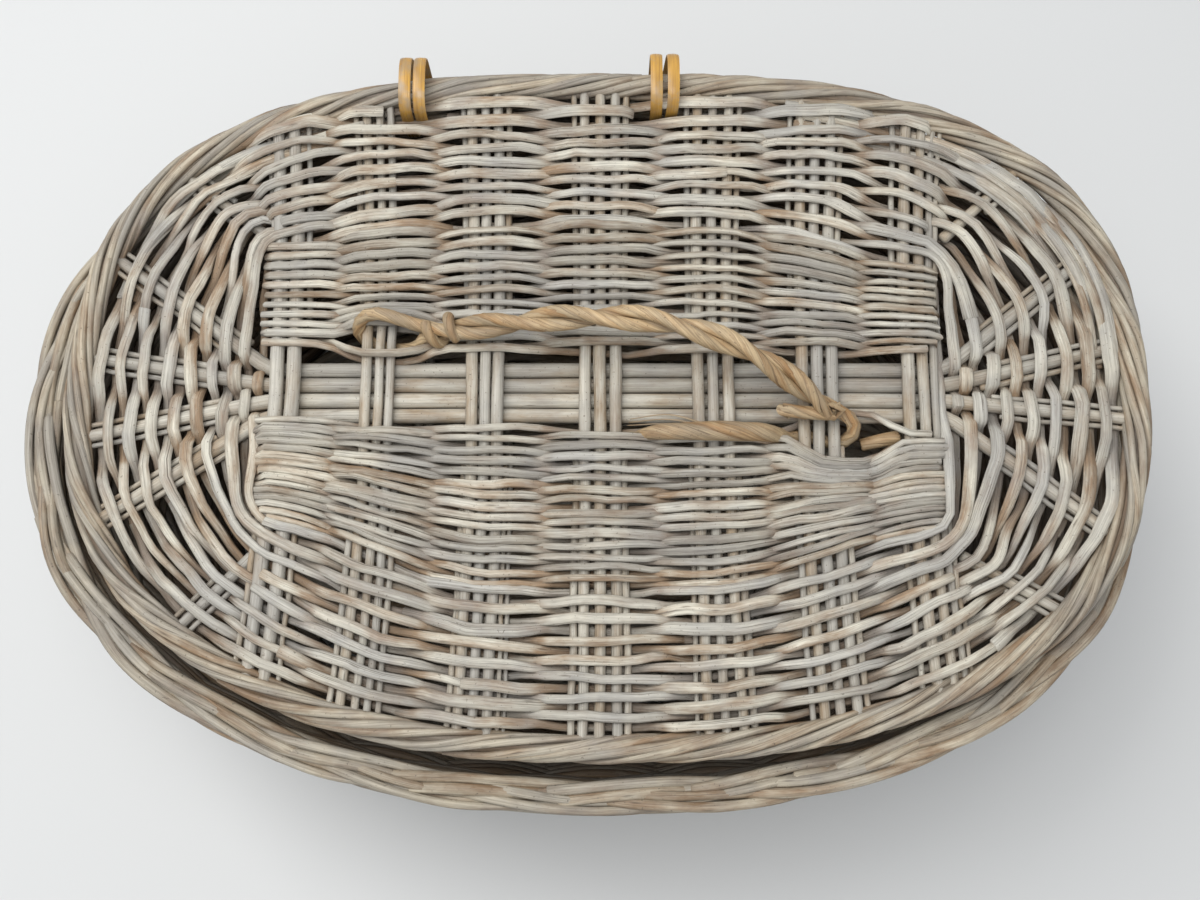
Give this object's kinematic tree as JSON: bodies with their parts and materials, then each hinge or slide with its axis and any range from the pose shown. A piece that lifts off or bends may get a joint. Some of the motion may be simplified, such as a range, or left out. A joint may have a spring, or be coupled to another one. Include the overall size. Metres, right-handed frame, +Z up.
{
  "type": "lidded wicker basket",
  "caption": "Oval willow basket with a rolled rim, a flat woven lid that opens on cane loops at the back, and a twisted rod handle that rocks on the lid.",
  "frame": {"origin": "on the ground, in the middle of the footprint", "axes": "+X along the basket's length, +Y towards the cane loops at the back, +Z up"},
  "size_m": [0.48, 0.3288, 0.2116],
  "materials": {
    "willow_weave": "weathered grey-tan woven willow",
    "willow_stick": "pale grey-beige willow sticks",
    "willow_border": "browner rolled willow rods",
    "handle_willow": "tan twisted willow rod, worn smooth",
    "split_cane": "glossy ochre split cane"
  },
  "bodies": {
    "basket": {"bottom_cross_sticks_1": "willow_stick", "bottom_cross_sticks_2": "willow_stick", "bottom_cross_sticks_3": "willow_stick", "bottom_long_sticks": "willow_stick", "bottom_weave": "willow_weave", "foot_wale": "willow_weave", "hinge_loop_left": "split_cane", "hinge_loop_right": "split_cane", "rim_border": "willow_border", "side_stake_01": "willow_stick", "side_stake_02": "willow_stick", "side_stake_03": "willow_stick", "side_stake_04": "willow_stick", "side_stake_05": "willow_stick", "side_stake_06": "willow_stick", "side_stake_07": "willow_stick", "side_stake_08": "willow_stick", "side_stake_09": "willow_stick", "side_stake_10": "willow_stick", "side_stake_11": "willow_stick", "side_stake_12": "willow_stick", "side_stake_13": "willow_stick", "side_stake_14": "willow_stick", "side_stake_15": "willow_stick", "side_stake_16": "willow_stick", "side_stake_17": "willow_stick", "side_stake_18": "willow_stick", "side_stake_19": "willow_stick", "side_stake_20": "willow_stick", "side_stake_21": "willow_stick", "side_stake_22": "willow_stick", "side_stake_23": "willow_stick", "side_stake_24": "willow_stick", "side_stake_25": "willow_stick", "side_stake_26": "willow_stick", "side_stake_27": "willow_stick", "side_stake_28": "willow_stick", "side_weave": "willow_weave", "top_wale": "willow_weave"},
    "lid": {"handle_tail": "handle_willow", "lid_border": "willow_border", "lid_cross_sticks_1": "willow_stick", "lid_cross_sticks_2": "willow_stick", "lid_cross_sticks_3": "willow_stick", "lid_cross_sticks_4": "willow_stick", "lid_cross_sticks_5": "willow_stick", "lid_cross_sticks_6": "willow_stick", "lid_cross_sticks_7": "willow_stick", "lid_long_stick_1": "willow_stick", "lid_long_stick_2": "willow_stick", "lid_long_stick_3": "willow_stick", "lid_long_stick_4": "willow_stick", "lid_spoke_left_back": "willow_stick", "lid_spoke_left_front": "willow_stick", "lid_spoke_right_back": "willow_stick", "lid_spoke_right_front": "willow_stick", "lid_weave_back": "willow_weave", "lid_weave_front": "willow_weave", "lid_weave_round": "willow_weave"},
    "handle": {"handle_rod": "handle_willow"}
  },
  "joints": [
    {"name": "lid_hinge", "type": "hinge", "parent": "basket", "child": "lid", "pos_m": [0, 0.15162, 0.1718], "axis": [-1, 0, 0], "range_deg": [0, 110]},
    {"name": "handle_swing", "type": "hinge", "parent": "lid", "child": "handle", "pos_m": [-0.08463, 0.03113, 0.16909], "axis": [0.9759, -0.2183, 0], "range_deg": [-6, 70]}
  ]
}
